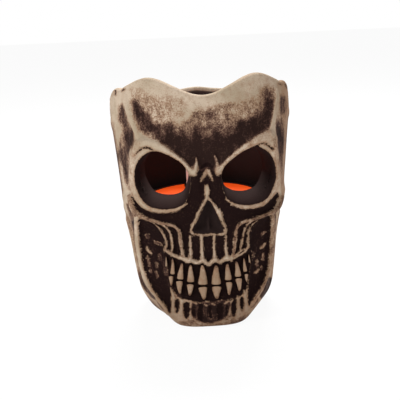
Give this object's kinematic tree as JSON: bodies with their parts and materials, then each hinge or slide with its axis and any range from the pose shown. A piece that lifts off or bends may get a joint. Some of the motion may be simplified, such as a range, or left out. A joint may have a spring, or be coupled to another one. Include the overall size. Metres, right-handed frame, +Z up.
{
  "type": "halloween skull decoration",
  "caption": "Hollow open-topped skull with see-through eye sockets, a lit orange deck inside, and a battery bay and slide switch underneath.",
  "frame": {"origin": "on the surface that the skull stands on, under the middle of its bounding box", "axes": "+Z up; the face looks along -Y; +X is to the right when the face is looked at"},
  "size_m": [0.1464, 0.1435, 0.2066],
  "materials": {
    "bone": "painted bone with dark wash in the hollows",
    "black_plastic": "moulded, fine texture",
    "switch_grey": "moulded",
    "orange_plastic": "translucent, lit from below",
    "frosted": "frosted diffuser",
    "lamp_clear": "clear epoxy",
    "circuit": "solder mask",
    "steel": "plated",
    "cell_wrap": "plain wrap",
    "rubber": "matt",
    "red_lead": "insulated wire",
    "black_lead": "insulated wire"
  },
  "bodies": {
    "root": {"face_shell": "bone", "rear_shell": "bone", "base_plate": "black_plastic", "hinge_pin": "steel", "base_screw_1": "steel", "base_screw_2": "steel", "base_screw_3": "steel", "base_screw_4": "steel", "foot_pad_1": "rubber", "foot_pad_2": "rubber", "foot_pad_3": "rubber", "foot_pad_4": "rubber", "battery_1": "cell_wrap", "battery_2": "cell_wrap", "battery_3": "cell_wrap", "contact_front_pair": "steel", "contact_front_single": "steel", "contact_rear_single": "steel", "contact_rear_pair": "steel", "switch_body": "black_plastic", "lamp_tray": "black_plastic", "glow_deck": "orange_plastic", "light_pillar": "frosted", "led_board": "circuit", "led_1": "lamp_clear", "led_2": "lamp_clear", "led_3": "lamp_clear", "led_4": "lamp_clear", "pillar_board": "circuit", "pillar_led": "lamp_clear", "tray_screw_1": "steel", "tray_screw_2": "steel", "tray_screw_3": "steel", "tray_screw_4": "steel", "board_screw_1": "steel", "board_screw_2": "steel", "lead_battery": "red_lead", "lead_switch": "black_lead", "lead_link": "black_lead", "lead_pillar": "red_lead"},
    "battery_door": {"battery_door": "black_plastic"},
    "switch_slider": {"switch_slider": "switch_grey"}
  },
  "joints": [
    {"name": "door_hinge", "type": "hinge", "parent": "root", "child": "battery_door", "pos_m": [0, 0.03355, 0.0042], "axis": [1, 0, 0], "range_deg": [0, 95]},
    {"name": "switch_slide", "type": "slide", "parent": "root", "child": "switch_slider", "axis": [0, 1, 0], "range_m": [0, 0.004]}
  ]
}
